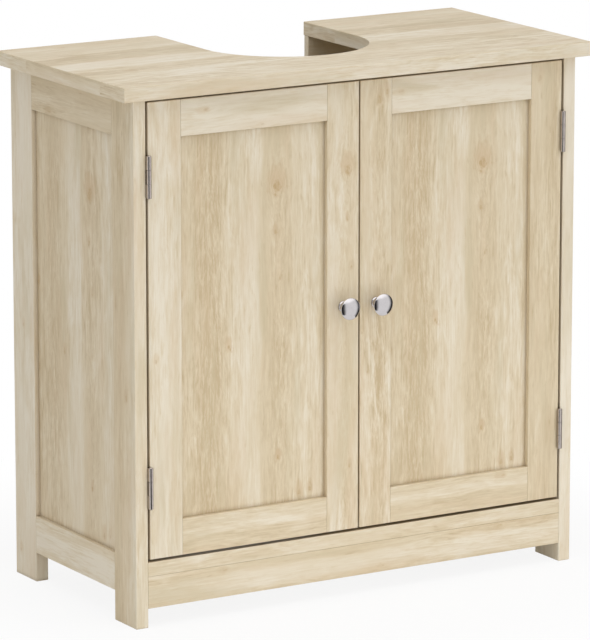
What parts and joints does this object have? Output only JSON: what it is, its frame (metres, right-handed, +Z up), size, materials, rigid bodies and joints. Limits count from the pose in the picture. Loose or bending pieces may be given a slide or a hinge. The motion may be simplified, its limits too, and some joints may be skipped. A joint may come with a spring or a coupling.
{
  "type": "under-sink cabinet",
  "caption": "Low framed cabinet for under a pedestal basin, with inset hinged doors, a shelf and a top, shelf and floor cut out round the column.",
  "frame": {"origin": "middle of the bounding box on the floor, doors shut, knobs included", "axes": "+X to the right seen from the front, +Y from the doors to the wall, +Z up"},
  "size_m": [0.6, 0.301, 0.6],
  "materials": {
    "oak_top": "satin wood-grain foil, grain along X",
    "oak_board": "satin wood-grain foil, grain along X",
    "oak_leg": "satin wood-grain foil, upright grain",
    "oak_side_rail": "satin wood-grain foil, grain along Y",
    "oak_side_panel": "satin wood-grain foil, upright grain",
    "oak_back_panel": "satin wood-grain foil, grain along X",
    "oak_apron": "satin wood-grain foil, grain along X",
    "oak_stile": "satin wood-grain foil, upright grain",
    "oak_door_rail": "satin wood-grain foil, grain along X",
    "oak_door_panel": "satin wood-grain foil, upright grain",
    "hinge_nickel": "satin nickel plate",
    "knob_chrome": "polished chrome plate",
    "zinc_die_cast": "plain zinc casting",
    "zinc_steel": "bright zinc plate",
    "beech_dowel": "raw wood",
    "catch_plastic": "moulded plastic",
    "magnet_steel": "dull plated magnet"
  },
  "bodies": {
    "carcass": {"back_panel_screws": "zinc_steel", "bottom_panel": "oak_board", "cam_bolts": "zinc_steel", "cam_locks": "zinc_die_cast", "catch_magnets": "magnet_steel", "catch_screws": "zinc_steel", "dowels": "beech_dowel", "front_apron": "oak_apron", "hinge_frame_screws": "zinc_steel", "left_back_leg": "oak_leg", "left_back_panel": "oak_back_panel", "left_catch_body": "catch_plastic", "left_front_leg": "oak_leg", "left_lower_hinge_frame_leaf": "hinge_nickel", "left_lower_hinge_pin": "hinge_nickel", "left_lower_side_rail": "oak_side_rail", "left_side_panel": "oak_side_panel", "left_upper_hinge_frame_leaf": "hinge_nickel", "left_upper_hinge_pin": "hinge_nickel", "left_upper_side_rail": "oak_side_rail", "right_back_leg": "oak_leg", "right_back_panel": "oak_back_panel", "right_catch_body": "catch_plastic", "right_front_leg": "oak_leg", "right_lower_hinge_frame_leaf": "hinge_nickel", "right_lower_hinge_pin": "hinge_nickel", "right_lower_side_rail": "oak_side_rail", "right_side_panel": "oak_side_panel", "right_upper_hinge_frame_leaf": "hinge_nickel", "right_upper_hinge_pin": "hinge_nickel", "right_upper_side_rail": "oak_side_rail", "shelf": "oak_board", "shelf_pins": "zinc_steel", "top_panel": "oak_top"},
    "left_door": {"left_door_bottom_rail": "oak_door_rail", "left_door_hinge_stile": "oak_stile", "left_door_meeting_stile": "oak_stile", "left_door_panel": "oak_door_panel", "left_door_screws": "zinc_steel", "left_door_top_rail": "oak_door_rail", "left_knob": "knob_chrome", "left_knob_screw": "zinc_steel", "left_lower_hinge_door_leaf": "hinge_nickel", "left_strike_plate": "zinc_steel", "left_upper_hinge_door_leaf": "hinge_nickel"},
    "right_door": {"right_door_bottom_rail": "oak_door_rail", "right_door_hinge_stile": "oak_stile", "right_door_meeting_stile": "oak_stile", "right_door_panel": "oak_door_panel", "right_door_screws": "zinc_steel", "right_door_top_rail": "oak_door_rail", "right_knob": "knob_chrome", "right_knob_screw": "zinc_steel", "right_lower_hinge_door_leaf": "hinge_nickel", "right_strike_plate": "zinc_steel", "right_upper_hinge_door_leaf": "hinge_nickel"}
  },
  "joints": [
    {"name": "left_door_hinge", "type": "hinge", "parent": "carcass", "child": "left_door", "pos_m": [-0.2665, -0.1325, 0.3285], "axis": [0, 0, -1], "range_deg": [0, 180]},
    {"name": "right_door_hinge", "type": "hinge", "parent": "carcass", "child": "right_door", "pos_m": [0.2665, -0.1325, 0.3285], "axis": [0, 0, 1], "range_deg": [0, 180]}
  ]
}
